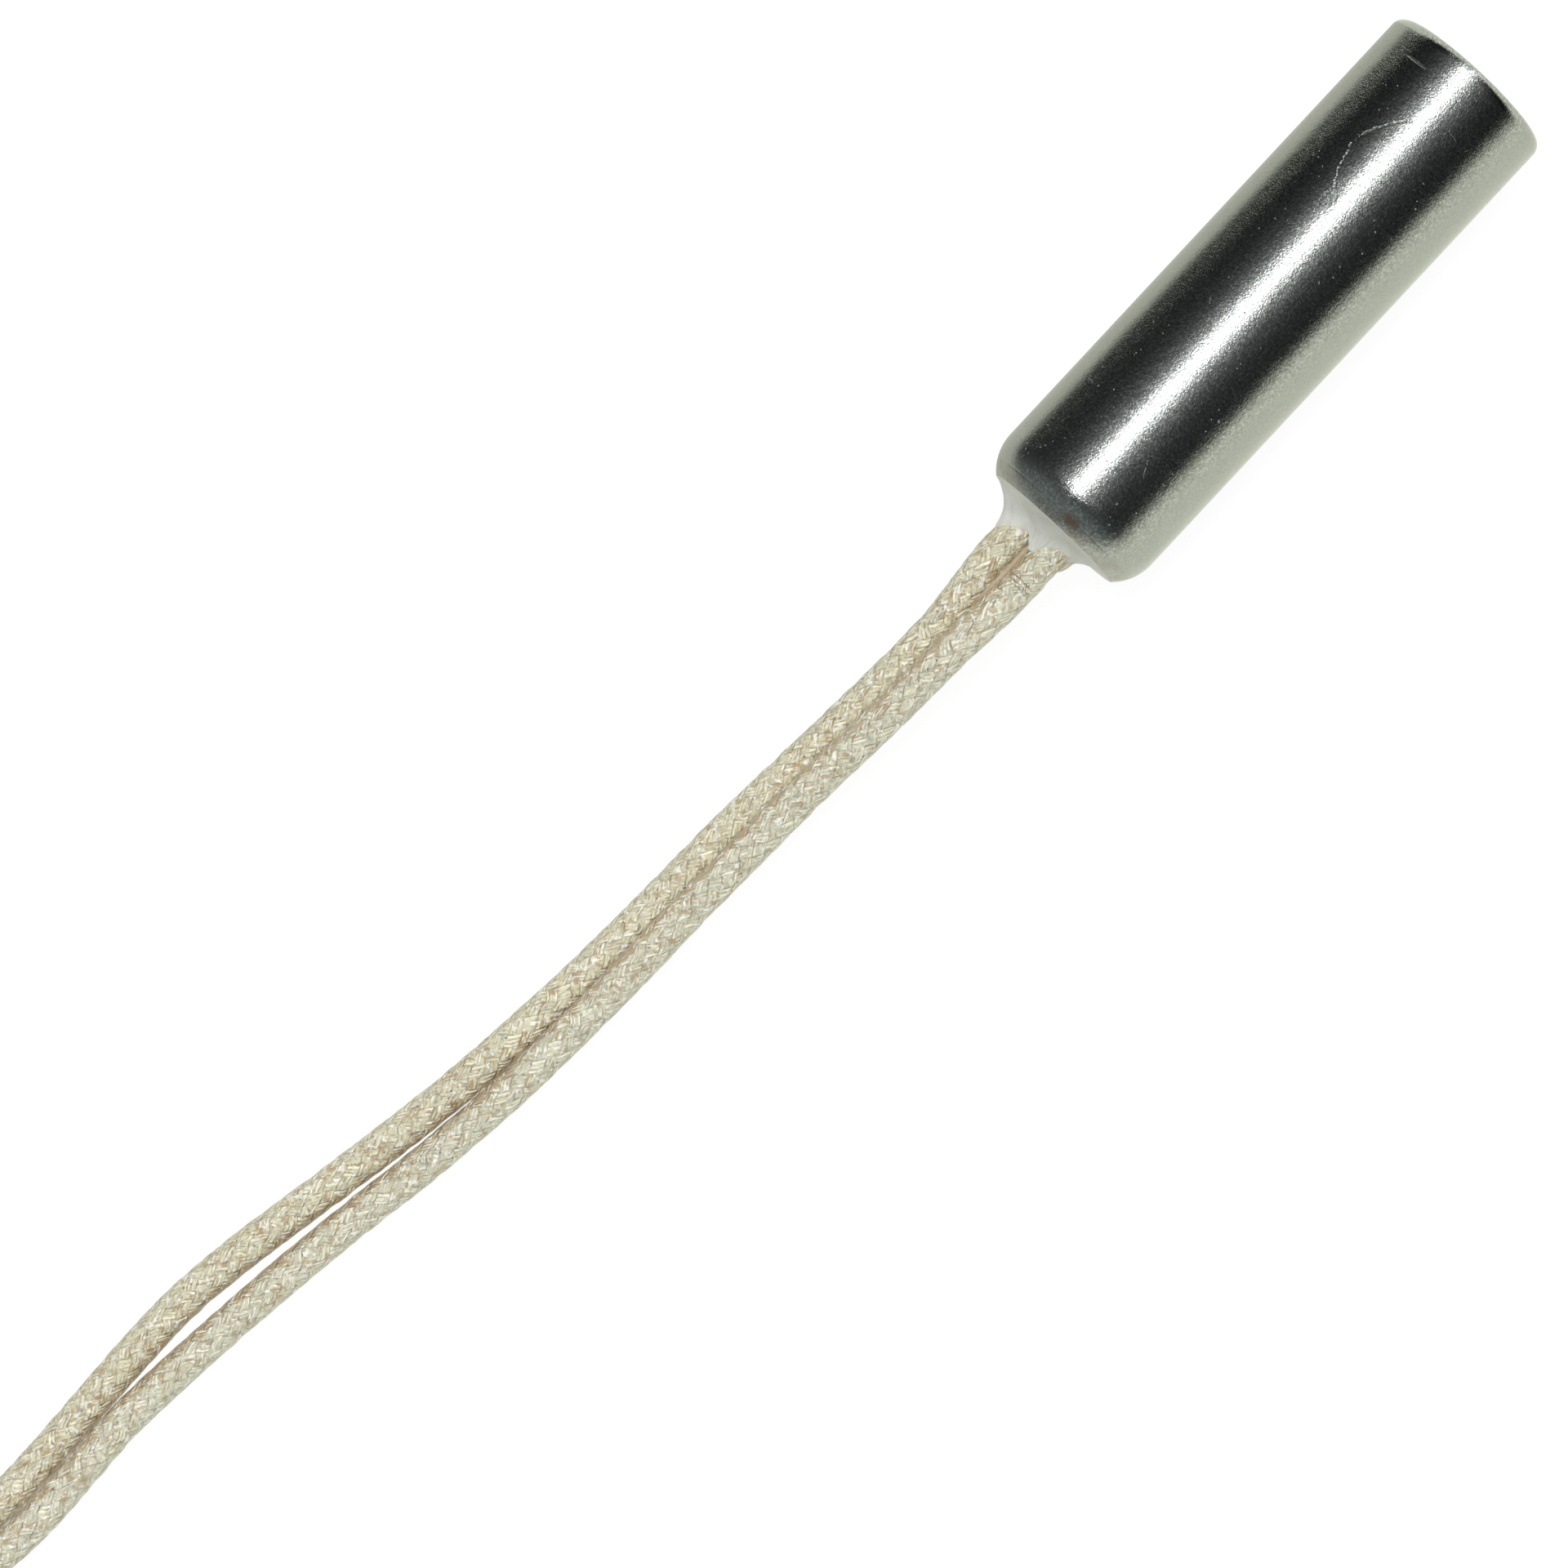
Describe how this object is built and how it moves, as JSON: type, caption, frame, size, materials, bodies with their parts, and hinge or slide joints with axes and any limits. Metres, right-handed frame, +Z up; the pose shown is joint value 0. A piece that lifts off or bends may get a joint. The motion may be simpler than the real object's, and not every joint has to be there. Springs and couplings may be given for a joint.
{
  "type": "flame sensor probe",
  "caption": "Round steel capsule with a cement-filled mouth and a pair of braided glass-fibre leads that end in crimped ferrules, for sensing a burner flame or hot gas.",
  "frame": {"origin": "centre of the flat tip face, on the capsule's axis", "axes": "+X out of the tip along the capsule's axis, the leads run to -X, +Z up from the surface that the probe lies on, which is 3 mm below the axis"},
  "size_m": [0.1221, 0.01, 0.007],
  "materials": {
    "capsule_steel": "polished",
    "magnesia_powder": "matte",
    "potting_cement": "matte",
    "alumina": "matte",
    "platinum": "satin",
    "element_glass": "gloss",
    "bead_glass": "gloss",
    "nickel": "satin",
    "glass_sleeving": "matte",
    "plated_copper": "satin",
    "glass_serving": "matte",
    "braid_warm": "satin",
    "braid_cool": "satin",
    "tie_plastic": "satin",
    "silicone_sleeve": "matte",
    "tinned_ferrule": "satin"
  },
  "bodies": {
    "root": {"capsule": "capsule_steel", "powder_fill": "magnesia_powder", "potting_seal": "potting_cement", "element_substrate": "alumina", "element_film": "platinum", "element_glaze": "element_glass", "element_bond_bead": "bead_glass", "element_wire_a": "platinum", "element_wire_b": "platinum", "twin_bore_insulator": "alumina", "crimp_sleeve_a": "nickel", "crimp_sleeve_b": "nickel", "splice_sleeving_a": "glass_sleeving", "splice_sleeving_b": "glass_sleeving", "conductor_a": "plated_copper", "conductor_b": "plated_copper", "inner_serving_a": "glass_serving", "inner_serving_b": "glass_serving", "lead_root_a": "braid_warm", "lead_root_b": "braid_cool", "lead_a": "braid_warm", "lead_b": "braid_cool", "lead_a_hank": "braid_warm", "lead_b_hank": "braid_cool", "hank_tie": "tie_plastic", "lead_a_tail": "braid_warm", "lead_b_tail": "braid_cool", "fray_sleeve_a": "silicone_sleeve", "fray_sleeve_b": "silicone_sleeve", "tail_conductor_a": "plated_copper", "tail_conductor_b": "plated_copper", "ferrule_a": "tinned_ferrule", "ferrule_b": "tinned_ferrule"}
  },
  "joints": []
}
